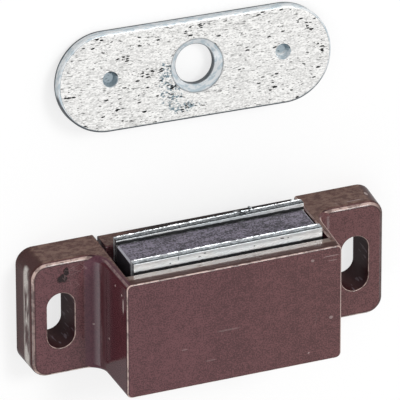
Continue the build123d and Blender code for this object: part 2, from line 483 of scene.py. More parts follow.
def patch_group():
    """A ragged-edged patch: 1 in its middle, 0 outside."""
    name = "ragged patch"
    if name in bpy.data.node_groups:
        return bpy.data.node_groups[name]
    group, given, result = new_group(
        name,
        [
            ("Vector", "vector", None),
            ("Centre", "vector", (0.0, 0.0, 0.0)),
            ("Reach", "vector", (1.0, 1.0, 1.0)),
            ("Ragged", "float", 0.4),
            ("Grain", "float", 2.0),
        ],
        [("Mask", "float")],
    )
    away = vector_node(group, "SUBTRACT", given["Vector"], given["Centre"])
    away = vector_node(group, "DIVIDE", away, given["Reach"])
    distance = vector_node(group, "LENGTH", away, result="Value")
    wander = math_node(group, "SUBTRACT", noise(group, given["Vector"], given["Grain"], 3.0, 0.65), 0.5)
    wander = product(group, wander, given["Ragged"], 3.0)
    distance = math_node(group, "ADD", distance, wander)
    group.links.new(below(group, distance, 0.75, 1.05), result["Mask"])
    return group


def speck_group():
    """Sparse small specks: dust and pinholes."""
    name = "specks"
    if name in bpy.data.node_groups:
        return bpy.data.node_groups[name]
    group, given, result = new_group(
        name,
        [
            ("Vector", "vector", None),
            ("Scale", "float", 0.6),
            ("Share", "float", 0.05),
            ("Size", "float", 0.25),
        ],
        [("Mask", "float")],
    )
    cells = add_node(group, "ShaderNodeTexVoronoi", {"Vector": given["Vector"], "Scale": given["Scale"]})
    dice = add_node(group, "ShaderNodeSeparateColor", {0: cells.outputs["Color"]}).outputs
    chosen = math_node(group, "LESS_THAN", dice[0], given["Share"])
    size = math_node(group, "MULTIPLY", given["Size"], add_up(group, (dice[1], 0.7), (1.0, 0.5)))
    ragged = wobble(group, given["Vector"], 7.0, 1.0, 0.12)
    distance = math_node(group, "ADD", cells.outputs["Distance"], ragged)
    inside = math_node(group, "LESS_THAN", distance, size)
    group.links.new(product(group, chosen, inside), result["Mask"])
    return group


def hairline_group():
    """Long thin scratches that start and stop."""
    name = "hairlines"
    if name in bpy.data.node_groups:
        return bpy.data.node_groups[name]
    group, given, result = new_group(
        name,
        [
            ("Vector", "vector", None),
            ("Scale", "float", 0.12),
            ("Width", "float", 0.01),
            ("Share", "float", 0.5),
        ],
        [("Mask", "float")],
    )
    inputs = {"Vector": given["Vector"], "Scale": 0.22, "Detail": 1.0}
    bent = add_node(group, "ShaderNodeTexNoise", inputs).outputs["Color"]
    bent = add_node(group, "ShaderNodeVectorMath", {0: bent, "Scale": 3.0}, operation="SCALE").outputs[0]
    inputs = {"Vector": vector_node(group, "ADD", bent, given["Vector"]), "Scale": given["Scale"]}
    cells = add_node(group, "ShaderNodeTexVoronoi", inputs, feature="DISTANCE_TO_EDGE")
    line = math_node(group, "LESS_THAN", cells.outputs["Distance"], given["Width"])
    start = math_node(group, "SUBTRACT", 1.0, given["Share"])
    gaps = noise(group, given["Vector"], 0.35, 2.0)
    there = ramp(group, gaps, start, math_node(group, "ADD", start, 0.05))
    group.links.new(product(group, line, there), result["Mask"])
    return group


def rolled_sheet_group():
    """What rolling leaves in plated sheet: short wavy lines along X, dark dashes and a broad cloud."""
    name = "rolled sheet"
    if name in bpy.data.node_groups:
        return bpy.data.node_groups[name]
    group, given, result = new_group(
        name,
        [("Vector", "vector", None), ("Share", "float", 0.05)],
        [("Lines", "float"), ("Dashes", "float"), ("Cloud", "float")],
    )
    vector = given["Vector"]
    swayed = add_node(group, "ShaderNodeCombineXYZ", {1: wobble(group, vector, 0.5, 2.0, 0.9)}).outputs[0]
    swayed = vector_node(group, "ADD", vector, swayed)
    broad = noise(group, stretched(group, swayed, (0.42, 1.9, 1.9)), 1.0, 2.0, 0.6)
    fine = noise(group, stretched(group, swayed, (1.1, 4.2, 4.2)), 1.0, 2.0, 0.6)
    lines = add_up(group, (broad, 0.45), (fine, 0.55))

    inputs = {"Vector": stretched(group, swayed, (1.35, 3.9, 3.9)), "Scale": 1.0}
    cells = add_node(group, "ShaderNodeTexVoronoi", inputs)
    dice = add_node(group, "ShaderNodeSeparateColor", {0: cells.outputs["Color"]}).outputs
    chosen = math_node(group, "LESS_THAN", dice[0], given["Share"])
    distance = math_node(group, "ADD", cells.outputs["Distance"], wobble(group, vector, 6.0, 1.0, 0.35))
    size = math_node(group, "ADD", math_node(group, "MULTIPLY", dice[1], 0.28), 0.32)
    dashes = product(group, chosen, math_node(group, "LESS_THAN", distance, size))
    cloud = noise(group, stretched(group, vector, (0.12, 0.26, 0.26), (0.0, 4.0, 2.0)), 1.0, 3.0, 0.6)
    for label, socket in (("Lines", lines), ("Dashes", dashes), ("Cloud", cloud)):
        group.links.new(socket, result[label])
    return group


def place_group(tree, group, **inputs):
    """Place a shared effect in a material with this material's own values."""
    return add_node(tree, "ShaderNodeGroup", inputs, node_tree=group).outputs


def patch(tree, vector, centre, reach, ragged=0.4, grain=2.0):
    """A ragged patch at a place on the part, in millimetres."""
    values = {"Vector": vector, "Centre": centre, "Reach": reach, "Ragged": ragged, "Grain": grain}
    return place_group(tree, patch_group(), **values)["Mask"]


def specks(tree, vector, scale, share, size):
    """Specks scattered over a surface."""
    return place_group(tree, speck_group(), Vector=vector, Scale=scale, Share=share, Size=size)["Mask"]


def hairlines(tree, vector, scale, width, share):
    """Scratches scattered over a surface."""
    return place_group(tree, hairline_group(), Vector=vector, Scale=scale, Width=width, Share=share)["Mask"]


def new_material(name):
    """A material, its tree, its Principled BSDF, and object coordinates in millimetres and normals."""
    material = bpy.data.materials.new(name)
    material.use_nodes = True
    tree = material.node_tree
    coordinates = add_node(tree, "ShaderNodeTexCoord").outputs
    scaling = {0: coordinates["Object"], "Scale": 1.0 / MM}
    place = add_node(tree, "ShaderNodeVectorMath", scaling, operation="SCALE").outputs[0]
    return material, tree, tree.nodes["Principled BSDF"], place, coordinates["Normal"]


# ------------------------------------------------------------------ the moulding
def upper_faces(tree, parts, across, top):
    """On upper faces: a painted reflection of the pole plate along the mouth, the front wall's duller outer
    half painted dark as a painted reflection, and painted shade on the cover.
    """
    # painted reflection: the inner half of the front wall's top, pale like the pole plate it would mirror
    pole_reflection = product(
        tree, top, between(tree, parts["Z"], 13.9, 15.1), below(tree, across, POCKET_END - 0.2, POCKET_END)
    )
    # painted dark reflection on the front wall's outer half, which is also duller
    lip = product(
        tree, top, ramp(tree, parts["Z"], 15.2, 15.5), below(tree, across, BLOCK_END - 0.4, BLOCK_END - 0.2)
    )
    # painted shade on the cover's top, in the gap behind the rear plate
    cover_shade = product(
        tree,
        top,
        ramp(tree, parts["Z"], 4.4, 4.2),
        ramp(tree, parts["X"], -13.5, -7.0),
        below(tree, parts["X"], POCKET_END, POCKET_END + 0.2),
    )
    return pole_reflection, lip, cover_shade


def gate_marks(tree, place):
    """The scar where the gate was cut off the left ear, and the fine scratches beside it."""
    scar = biggest(
        tree,
        patch(tree, place, (-23.7, 6.8, EAR_TOP), (0.95, 0.85, 1.2), 0.45, 1.5),
        patch(tree, place, (-23.1, 7.8, EAR_TOP), (0.50, 0.75, 1.2), 0.45, 1.5),
    )
    beside = patch(tree, place, (-21.6, 7.2, EAR_TOP), (2.2, 2.2, 1.2), 0.4, 1.0)
    return scar, product(tree, hairlines(tree, place, 0.9, 0.035, 0.6), beside)


def ear_ends(tree, place, parts, facing, across):
    """The ears' ends and corners, painted darker as painted shade, and a pale painted reflection along the
    middle of each end.
    """
    end = ramp(tree, across, HOUSING_HIGH.x - 0.7, HOUSING_HIGH.x - 0.4)
    beyond = HOUSING_HIGH.x - EAR_END
    corner = product(tree, absolute(tree, facing["X"]), absolute(tree, facing["Y"]))
    corner = product(tree, ramp(tree, corner, 0.08, 0.30), ramp(tree, across, beyond, beyond + 0.4))
    # painted shade on the ears' ends and corners
    shaded = biggest(tree, product(tree, end, 0.70), product(tree, corner, 0.80))
    # a painted reflection down the middle of each end, which is a little duller too
    middle = near(tree, parts["Z"], 3.95, 0.55, 1.30)
    along = ramp(tree, noise(tree, stretched(tree, place, (1.0, 0.22, 0.8)), 1.0, 3.0), 0.34, 0.54)
    return shaded, product(tree, end, middle, along)


def slot_insides(tree, place, parts, facing, across):
    """The insides of the screw slots, painted dark as painted shade, and the pale drag marks in them."""
    inside = product(
        tree,
        between(tree, across, SLOT_MIDDLE - 5.4, SLOT_MIDDLE + 4.2),
        below(tree, absolute(tree, parts["Y"]), 5.6, 5.8),
        below(tree, absolute(tree, facing["Z"]), 0.5, 0.7),
    )
    drag = ramp(tree, noise(tree, stretched(tree, place, (1.6, 1.6, 0.35)), 1.0, 2.0), 0.60, 0.68)
    return inside, product(tree, inside, drag)


def edge_shade_and_highlights(tree, place, parts, facing, across):
    """The small roundings of the edges, painted dark as painted shade, and a pale painted highlight along
    their crests.
    """
    rims = biggest(
        tree,
        ramp(tree, parts["Z"], FRONT - ROUNDING - 0.02, FRONT - ROUNDING + 0.02),
        near(tree, parts["Z"], EAR_TOP - ROUNDING / 2, 0.21, 0.24),
    )
    turned = absolute(tree, facing["Z"])
    dark = product(tree, rims, between(tree, turned, 0.25, 0.94, 0.04))

    # the painted highlight is weaker towards the right ear's end and down the left ear's outer edge
    upright = product(tree, ramp(tree, parts["X"], -28.1, -28.4), ramp(tree, parts["Y"], 7.0, 5.5))
    crest = product(
        tree,
        rims,
        near(tree, turned, 0.70, 0.13, 0.24),
        ramp(tree, parts["X"], 26.5, 28.5, 1.0, 0.15),
        math_node(tree, "SUBTRACT", 1.0, product(tree, upright, 0.6)),
    )
    # a painted highlight on the block's edges beside the mouth, stronger at the right
    ridge = product(
        tree,
        near(tree, absolute(tree, facing["X"]), 0.70, 0.12, 0.24),
        below(tree, turned, 0.2, 0.4),
        ramp(tree, parts["Y"], MOUTH - ROUNDING - 0.02, MOUTH - ROUNDING + 0.02),
        below(tree, across, BLOCK_END + 0.2, BLOCK_END + 0.4),
        ramp(tree, parts["X"], -1.0, 1.0, 0.35, 1.0),
    )
    # the painted highlight comes and goes, but not on the block's right edge
    broken = ramp(tree, noise(tree, place, 0.8, 3.0, 0.6), 0.36, 0.56, 0.35, 1.0)
    right_edge = near(tree, parts["X"], BLOCK_END - 0.4, 0.25, 0.35)
    right_edge = product(tree, right_edge, ramp(tree, parts["Z"], EAR_TOP + 0.9, EAR_TOP + 1.3))
    return dark, product(tree, biggest(tree, crest, ridge), biggest(tree, broken, right_edge))


def moulded_brown(settings):
    """Glossy brown moulding with flow marks, a gate scar, dust and scratches, and painted highlights,
    reflections and shade.
    """
    material, tree, shader, place, normal = new_material("moulded brown")
    colour = settings.moulding_colour
    parts, facing = split(tree, place), split(tree, normal)
    across = absolute(tree, parts["X"])
    flow = noise(tree, stretched(tree, place, (0.09, 0.06, 0.09)), 1.0, 3.0, 0.6)
    mottle = noise(tree, place, 1.1, 3.0, 0.65)
    grain = noise(tree, place, 4.4, 1.0, 0.6)

    # flow marks and a fine mottle in the brown itself
    tone = add_up(tree, (flow, 0.20), (mottle, 0.25), (grain, 0.55))
    base = mix_colour(tree, ramp(tree, tone, 0.41, 0.59), rgba(colour, 0.69), rgba(colour, 1.33))
    rightward = ramp(tree, parts["X"], -14.0, 20.0, 0.0, 0.6)
    base = mix_colour(tree, rightward, base, (*TOWARDS_RIGHT, 1.0), "MULTIPLY")
    top = ramp(tree, facing["Y"], 0.90, 0.97)
    streaks = noise(tree, stretched(tree, place, (0.8, 1.0, 1.2)), 1.0, 4.0, 0.75)
    # painted light: the upper faces get a lighter, streaky brown, as if lit from above
    painted_lit_top = mix_colour(tree, ramp(tree, streaks, 0.38, 0.62), rgba(LIT_TOP_DARK), rgba(LIT_TOP_LIGHT))

    # the layers over it, from the lowest up
    pole_reflection, lip, cover_shade = upper_faces(tree, parts, across, top)
    # painted shade: the block's left side painted darker
    side = ramp(tree, facing["X"], -0.80, -0.95)
    side = product(tree, side, below(tree, across, BLOCK_END + 0.6, BLOCK_END + 1.0))
    # painted shade: the left web between the block and the ear, painted darker and purpler
    web = between(tree, facing["X"], -0.80, -0.15, 0.1)
    web = product(tree, web, below(tree, across, BLOCK_END + 2.6, BLOCK_END + 3.0))
    scar, rubs = gate_marks(tree, place)
    shaded, end_reflection = ear_ends(tree, place, parts, facing, across)
    inside, drag = slot_insides(tree, place, parts, facing, across)
    dark, edge_highlight = edge_shade_and_highlights(tree, place, parts, facing, across)
    nicks = [
        (patch(tree, place, spot, reach, 0.35, 2.5), strength, NICK_PALE)
        for spot, reach, strength in NICKS
    ]
    dust = product(tree, specks(tree, place, 0.42, 0.12, 0.055), 0.6)
    scratches = product(tree, hairlines(tree, place, 0.13, 0.004, 0.40), 0.12)
    for mask, strength, tint in (
        (top, 0.75, painted_lit_top),
        (pole_reflection, 0.60, POLE_REFLECTION_PALE),
        (lip, 0.85, LIP_DARK_REFLECTION_RED),
        (cover_shade, 0.92, COVER_SHADE_BLACK),
        (side, 0.80, LEFT_SIDE_SHADE_RED),
        (web, 0.60, WEB_SHADE_PURPLE),
        (scar, 0.95, rgba(colour, 0.10)),
        (rubs, 0.30, FINE_SCRATCH),
        (shaded, 1.0, END_SHADE_BROWN),
        (end_reflection, 0.95, END_REFLECTION_PALE),
        (inside, 0.85, SLOT_SHADE_DARK),
        (drag, 0.60, DRAG_PALE),
        (dark, 0.75, RIM_SHADE_DARK),
        (edge_highlight, 0.90, CREST_HIGHLIGHT_PALE),
        *nicks,
        (biggest(tree, dust, scratches), 1.0, DUST_PALE),
    ):
        base = paint(tree, base, mask, strength, tint)
    tree.links.new(base, shader.inputs["Base Color"])

    smooth = settings.moulding_roughness
    roughness = ramp(tree, tone, 0.30, 0.70, smooth - 0.03, smooth + 0.05)
    duller = add_up(tree, (biggest(tree, scar, end_reflection), 0.15), (lip, 0.40), (inside, 0.35))
    tree.links.new(math_node(tree, "ADD", roughness, duller), shader.inputs["Roughness"])
    shader.inputs["Specular IOR Level"].default_value = 0.36
    height = add_up(tree, (flow, 1.0), (mottle, 0.10), (grain, 0.05), (scar, -0.25))
    tree.links.new(bump(tree, height, 0.12, 0.6), shader.inputs["Normal"])
    return material


# ------------------------------------------------------------------ the magnet
def ground_ferrite(settings):
    """Dull purple-grey ferrite, grainy and mottled, with painted shade in the seams at the poles and on its
    ends, and painted highlights on the edges above its ends.
    """
    material, tree, shader, place, normal = new_material("ground ferrite")
    colour = settings.ferrite_colour
    parts, facing = split(tree, place), split(tree, normal)
    cloud = noise(tree, place, 0.5, 4.0, 0.7)
    grain = noise(tree, place, 4.0, 2.0, 0.7)
    wheel = noise(tree, stretched(tree, place, (0.5, 0.5, 3.5)), 1.0, 2.0)
    pinholes = specks(tree, place, 1.1, 0.36, 0.20)
    sparkle = specks(tree, place, 2.1, 0.10, 0.20)
    tone = add_up(tree, (cloud, 0.30), (grain, 0.50), (wheel, 0.20))
    base = mix_colour(tree, ramp(tree, tone, 0.43, 0.57), rgba(colour, 0.34), rgba(colour, 2.15))

    # its end faces are painted black as painted shade, and the rounded edges above them pale as a painted
    # highlight
    sideways = absolute(tree, facing["X"])
    wander = wobble(tree, place, 1.6, 2.0, 0.35)
    end_edge_highlight = between(tree, math_node(tree, "ADD", sideways, wander), 0.30, 0.80, 0.12)

    # painted shade in the seams beside the pole plates
    across = add_up(tree, (wander, 0.4), (parts["Z"], 1.0))
    seams = biggest(
        tree,
        near(tree, across, MAGNET_LOW.z, 0.34, 0.50),
        near(tree, across, MAGNET_HIGH.z, 0.20, 0.32),
    )
    for mask, strength, tint in (
        (pinholes, 0.7, rgba(colour, 0.25)),
        (sparkle, 0.6, rgba(colour, 3.4)),
        (ramp(tree, sideways, 0.80, 0.92), 0.85, FERRITE_END_SHADE),
        (end_edge_highlight, 0.8, END_EDGE_HIGHLIGHT_PALE),
        (seams, 0.92, SEAM_SHADE_BLACK),
    ):
        base = paint(tree, base, mask, strength, tint)
    tree.links.new(base, shader.inputs["Base Color"])
    tree.links.new(ramp(tree, grain, 0.2, 0.8, 0.42, 0.64), shader.inputs["Roughness"])
    height = add_up(tree, (grain, 1.0), (pinholes, -1.0))
    tree.links.new(bump(tree, height, 0.05, 0.6), shader.inputs["Normal"])
    return material


# ------------------------------------------------------------------ the pole plates
def sheared_edge(tree, place, parts, facing, face, back, wander, tone, speckle):
    """The plates' edges as the shear tore them: rolled over in front and painted dark there as painted
    shade, burred behind with a painted highlight.
    """
    torn = noise(tree, stretched(tree, place, (1.5, 1.6, 1.6)), 1.0, 3.0, 0.7)
    grit = noise(tree, stretched(tree, place, (2.6, 3.0, 4.0)), 1.0, 2.0, 0.7)
    # a painted highlight along the back of the tip, where the burr stands
    burr = near(tree, math_node(tree, "ADD", parts["Z"], wander), back + 0.36, 0.12, 0.20)
    # painted shade on the rounding in front, where the edge rolls over
    lip = near(tree, parts["Z"], back + 1.24, 0.10, 0.20)
    lip = product(tree, lip, math_node(tree, "SUBTRACT", 1.0, face))
    rolled = biggest(tree, between(tree, facing["Z"], 0.35, 0.85, 0.08), lip)
    edge = mix_colour(tree, ramp(tree, torn, 0.38, 0.62), rgba(tone, 0.65), rgba(tone, 1.45))
    edge = paint(tree, edge, ramp(tree, grit, 0.55, 0.60), speckle, GRIT_DARK)
    edge = paint(tree, edge, burr, 0.9, BURR_HIGHLIGHT_BRIGHT)
    return paint(tree, edge, rolled, 0.85, ROLLED_SHADE_DARK), torn


def pole_steel(settings, name, back, seam, seed, sheared_tone, speckle, marks=()):
    """Plated strip: a pale face with faint rolling lines, and duller, torn, speckled sheared edges.

    back is the height of its back face, and seam is where painted shade lies along its front face.  marks
    are the middle and reach of each dark speck and crease.
    """
    material, tree, shader, place, normal = new_material(name)
    shifted = stretched(tree, place, (1.0, 1.0, 1.0), seed)
    parts, facing = split(tree, place), split(tree, normal)
    face = ramp(tree, absolute(tree, facing["Z"]), 0.88, 0.96)
    sheet = place_group(tree, rolled_sheet_group(), Vector=shifted, Share=0.012)
    colour = settings.steel_colour
    base = mix_colour(tree, ramp(tree, sheet["Lines"], 0.40, 0.60), rgba(colour, 0.84), rgba(colour, 1.06))
    base = paint(tree, base, ramp(tree, sheet["Cloud"], 0.42, 0.62), 0.7, CLOUD_BLUE)
    for spot, reach in marks:
        base = paint(tree, base, patch(tree, place, spot, reach, 0.4, 2.5), 0.8, CREASE_DARK)
    wander = wobble(tree, shifted, 1.2, 3.0, 0.25)
    # painted shade in a dark line along the seam
    face_seam_shade = near(tree, math_node(tree, "ADD", parts["Y"], wander), seam, 0.22, 0.30)
    base = paint(tree, base, face_seam_shade, 0.95, SEAM_SHADE_BLACK)

    tone = [c * sheared_tone for c in settings.sheared_colour]
    edge, torn = sheared_edge(tree, shifted, parts, facing, face, back, wander, tone, speckle)
    base = mix_colour(tree, face, edge, base)
    base = paint(tree, base, sheet["Dashes"], 1.0, DASH_DARK)
    tree.links.new(base, shader.inputs["Base Color"])
    tree.links.new(ramp(tree, face, 0.0, 1.0, 0.50, 0.45), shader.inputs["Metallic"])
    tree.links.new(ramp(tree, sheet["Lines"], 0.3, 0.7, 0.20, 0.26), shader.inputs["Roughness"])
    height = add_up(tree, (sheet["Lines"], 0.12), (sheet["Dashes"], -0.6), (torn, 0.3))
    tree.links.new(bump(tree, height, 0.04, 0.35), shader.inputs["Normal"])
    return material


# ------------------------------------------------------------------ the strike plate
def scuffed(tree, place):
    """Where the countersink's tool scuffed the face, left of the hole and below it."""
    reached = biggest(
        tree,
        patch(tree, place, (-5.7, 36.3, 3.4), (1.1, 2.6, 3.0), 0.9, 1.4),
        patch(tree, place, (-5.2, 33.6, 3.9), (1.6, 1.6, 3.0), 0.9, 1.4),
        patch(tree, place, (-3.2, 31.3, 4.3), (2.6, 0.7, 3.0), 1.0, 1.4),
    )
    return product(tree, reached, ramp(tree, noise(tree, place, 2.4, 2.0, 0.6), 0.46, 0.58))


def painted_shade_lines(tree, place, facing, upright, radius, depth):
    """Painted shade in dark lines: where the rim's roll begins, on its near side, on the torn half of the
    sides, at the hole.
    """
    wander = wobble(tree, place, 1.0, 3.0, 0.30)
    outer = ramp(tree, radius, HOLE_RADIUS + 1.9, HOLE_RADIUS + 2.1)
    begun = product(tree, near(tree, upright, 0.945, 0.015, 0.035), outer)
    near_side = product(tree, ramp(tree, facing["Y"], -0.05, -0.20), ramp(tree, upright, 0.975, 0.93), outer)
    torn = product(tree, below(tree, math_node(tree, "ADD", depth, wander), -1.45, -1.30), outer)
    bore = product(tree, near(tree, radius, HOLE_RADIUS, 0.02, 0.16), ramp(tree, upright, 0.9, 0.8))
    mouth = near(tree, add_up(tree, (wander, 0.5), (radius, 1.0)), HOLE_RADIUS + 1.1, 0.05, 0.16)
    return biggest(
        tree,
        product(tree, begun, 0.50),
        product(tree, near_side, 0.95),
        product(tree, torn, 0.95),
        product(tree, bore, 0.85),
        product(tree, mouth, 0.50),
    )


def zinc_sheet(settings):
    """Bright zinc plate: wavy rolling lines, dashes where the plating missed, and scuffs at the hole."""
    material, tree, shader, place, normal = new_material("zinc sheet")
    colour = settings.zinc_colour
    facing = split(tree, normal)
    upright = vector_node(tree, "DOT_PRODUCT", normal, PLATE_NORMAL, "Value")
    face = ramp(tree, upright, 0.95, 0.985)
    from_hole = vector_node(tree, "SUBTRACT", place, HOLE)
    depth = vector_node(tree, "DOT_PRODUCT", from_hole, PLATE_NORMAL, "Value")
    swung = vector_node(tree, "CROSS_PRODUCT", from_hole, PLATE_NORMAL)
    radius = vector_node(tree, "LENGTH", swung, result="Value")

    # the plating missed in strings of short dashes, mostly in the places that DASHED lists
    strings = [patch(tree, place, (*spot, 3.0), (*reach, 4.0), 0.5, 1.0) for spot, reach in DASHED]
    share = ramp(tree, biggest(tree, *strings), 0.0, 1.0, 0.034, 0.46)
    sheet = place_group(tree, rolled_sheet_group(), Vector=place, Share=share)
    thin = ramp(tree, noise(tree, stretched(tree, place, (1.3, 6.5, 6.5)), 1.0, 1.0, 0.5), 0.640, 0.685)
    pits = biggest(tree, sheet["Dashes"], product(tree, thin, 0.85))

    # wavy rolling lines and grain, and streaks off the face, on the rolled rim and the sides
    lines = sheet["Lines"]
    grain = noise(tree, stretched(tree, place, (2.8, 5.5, 5.5)), 1.0, 1.0, 0.6)
    tone = add_up(tree, (lines, 0.50), (grain, 0.50))
    base = mix_colour(tree, ramp(tree, tone, 0.42, 0.58), rgba(colour, 0.79), rgba(colour, 1.11))
    base = paint(tree, base, scuffed(tree, place), 1.0, SCUFF_BLUE)
    streaks = ramp(tree, noise(tree, stretched(tree, place, (0.7, 0.7, 2.2)), 1.0, 3.0, 0.6), 0.40, 0.56)
    base = mix_colour(tree, face, mix_colour(tree, streaks, rgba(STREAK_BLUE), rgba(STREAK_PALE)), base)
    # painted shade in dark lines along the rim, the sides and the hole
    base = paint(tree, base, painted_shade_lines(tree, place, facing, upright, radius, depth), 1.0, EDGE_SHADE_DARK)
    for side in (-1, 1):
        dimple = patch(tree, place, HOLE + Vector((side * DIMPLE_REACH, 0, 0)), (1.35, 1.35, 2.5), 0.05)
        base = paint(tree, base, product(tree, dimple, below(tree, depth, -0.25, -0.05)), 0.85, DIMPLE_BLUE)
    base = paint(tree, base, pits, face, PIT_BLACK)
    tree.links.new(base, shader.inputs["Base Color"])
    tree.links.new(ramp(tree, face, 0.0, 1.0, 0.25, 0.55), shader.inputs["Metallic"])
    tree.links.new(ramp(tree, lines, 0.3, 0.7, 0.30, 0.44), shader.inputs["Roughness"])
    height = add_up(tree, (lines, 0.6), (sheet["Dashes"], -1.0))
    tree.links.new(bump(tree, height, 0.045, 0.6), shader.inputs["Normal"])
    return material


def dress(node_name, material):
    """Give a CAD node its material."""
    slots = frame["nodes"][node_name].data.materials
    slots.clear()
    slots.append(material)


# ------------------------------------------------------------------ operators
class CATCH_OT_moulding(bpy.types.Operator):
    """Finish the housing and its back cover in glossy brown moulding."""

    bl_idname = "catch.moulding"
    bl_label = "Moulding"

    def execute(self, context):
        material = moulded_brown(context.scene.catch_finishes)
        for name in ("housing", "back_cover"):
            dress(name, material)
        return {"FINISHED"}


class CATCH_OT_magnet(bpy.types.Operator):
    """Finish the magnet in ground ferrite."""

    bl_idname = "catch.magnet"
    bl_label = "Magnet"

    def execute(self, context):
        dress("magnet", ground_ferrite(context.scene.catch_finishes))
        return {"FINISHED"}


class CATCH_OT_pole_plates(bpy.types.Operator):
    """Finish both pole plates in plated steel with sheared edges."""

    bl_idname = "catch.pole_plates"
    bl_label = "Pole Plates"

    def execute(self, context):
        finishes = context.scene.catch_finishes
        back, seam = MAGNET_HIGH.z, MOUTH - 0.08
        steel = pole_steel(finishes, "front pole steel", back, seam, (0, 0, 0), 1.5, 0.3, POLE_MARKS)
        dress("front_pole_plate", steel)
        back, seam = node_box("rear_pole_plate")[0].z, MAGNET_HIGH.y + 0.14
        steel = pole_steel(finishes, "rear pole steel", back, seam, (5.3, 1.7, 9.1), 0.9, 0.9)
        dress("rear_pole_plate", steel)
        return {"FINISHED"}


class CATCH_OT_burrs(bpy.types.Operator):
    """Raise the shear's ragged burrs along the pole plates, and a curled sliver on the rear one."""

    bl_idname = "catch.burrs"
    bl_label = "Burrs"

    def execute(self, context):
        finishes = context.scene.catch_finishes
        for name in ("front_pole_plate", "rear_pole_plate"):
            self.strip(name, finishes.burr_height / MM)
        self.sliver("rear_pole_plate")
        return {"FINISHED"}

    def crest(self, name):
        """The plate's box, and the height of its tip at each end, which the burr follows."""
        low, high = node_box(name)
        points = node_points(name)
        left = max(p.y for p in points if p.x < low.x + 1.0)
        right = max(p.y for p in points if p.x > high.x - 1.0)
        return low, high, left, right

    def finish_piece(self, piece, name):
        """Turn the faces outward, and give the piece its plate's finish and body."""
        bpy.ops.object.mode_set(mode="EDIT")
        bpy.ops.mesh.select_all(action="SELECT")
        bpy.ops.mesh.normals_make_consistent(inside=False)
        bpy.ops.object.mode_set(mode="OBJECT")
        piece.data.materials.append(frame["nodes"][name].data.materials[0])
        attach(piece, "magnet_pack")
        piece.select_set(False)

    def strip(self, name, height):
        """A thin ragged wall along the back edge of a plate's tip."""
        low, high, left, right = self.crest(name)
        bpy.ops.mesh.primitive_grid_add(x_subdivisions=BURR_TEETH, y_subdivisions=1, size=1.0)
        piece = bpy.context.active_object
        piece.name = name + "_burr"
        length = high.x - low.x - 2 * BURR_MARGIN
        for vertex in piece.data.vertices:
            share = vertex.co.x + 0.5
            x = low.x + BURR_MARGIN + share * length
            tip = left + share * (right - left)
            broad = ragged_noise.noise(Vector((x * 0.9, low.z, 0)))
            fine = ragged_noise.noise(Vector((x * 3.1, 0, low.z)))
            root = tip - BURR_ROOT
            y = tip + height * (0.45 + 0.75 * (broad + fine)) if vertex.co.y > 0 else root
            vertex.co = Vector((x, max(y, root), low.z + BURR_INSET)) * MM
        solidify = piece.modifiers.new("wall", "SOLIDIFY")
        solidify.thickness = BURR_WALL * MM
        solidify.offset = 0.0
        bpy.ops.object.modifier_apply(modifier=solidify.name)
        self.finish_piece(piece, name)

    def sliver(self, name):
        """A wavy sliver that the shear left curled over the plate's tip."""
        low, high, left, right = self.crest(name)
        route = (                   # along X, above the tip, and in front of the back face
            (4.2, -0.06, 0.20),
            (4.9, 0.22, 0.20),
            (5.6, 0.22, 0.55),
            (6.0, 0.12, 1.10),
            (6.5, 0.14, 1.35),
            (7.1, 0.50, 1.00),
            (6.9, 0.75, 0.40),
            (7.4, 0.40, 0.10),
            (7.8, -0.06, 0.20),
        )
        curve = bpy.data.curves.new(name + "_sliver", "CURVE")
        curve.dimensions = "3D"
        spline = curve.splines.new("NURBS")
        spline.points.add(len(route) - 1)
        for point, (x, above, behind) in zip(spline.points, route):
            tip = left + (x - low.x) / (high.x - low.x) * (right - left)
            point.co = (x * MM, (tip + above) * MM, (low.z + behind) * MM, 1.0)
        spline.order_u = 3
        spline.use_endpoint_u = True
        curve.bevel_depth = SLIVER_RADIUS * MM
        curve.bevel_resolution = 2
        curve.use_fill_caps = True
        piece = bpy.data.objects.new(name + "_sliver", curve)
        bpy.context.collection.objects.link(piece)
        bpy.context.view_layer.objects.active = piece
        piece.select_set(True)
        bpy.ops.object.convert(target="MESH")
        self.finish_piece(bpy.context.active_object, name)


class CATCH_OT_strike_plate(bpy.types.Operator):
    """Finish the strike plate in bright zinc with rolling lines and pits."""

    bl_idname = "catch.strike_plate"
    bl_label = "Strike Plate"

    def execute(self, context):
        dress("strike_plate", zinc_sheet(context.scene.catch_finishes))
        return {"FINISHED"}


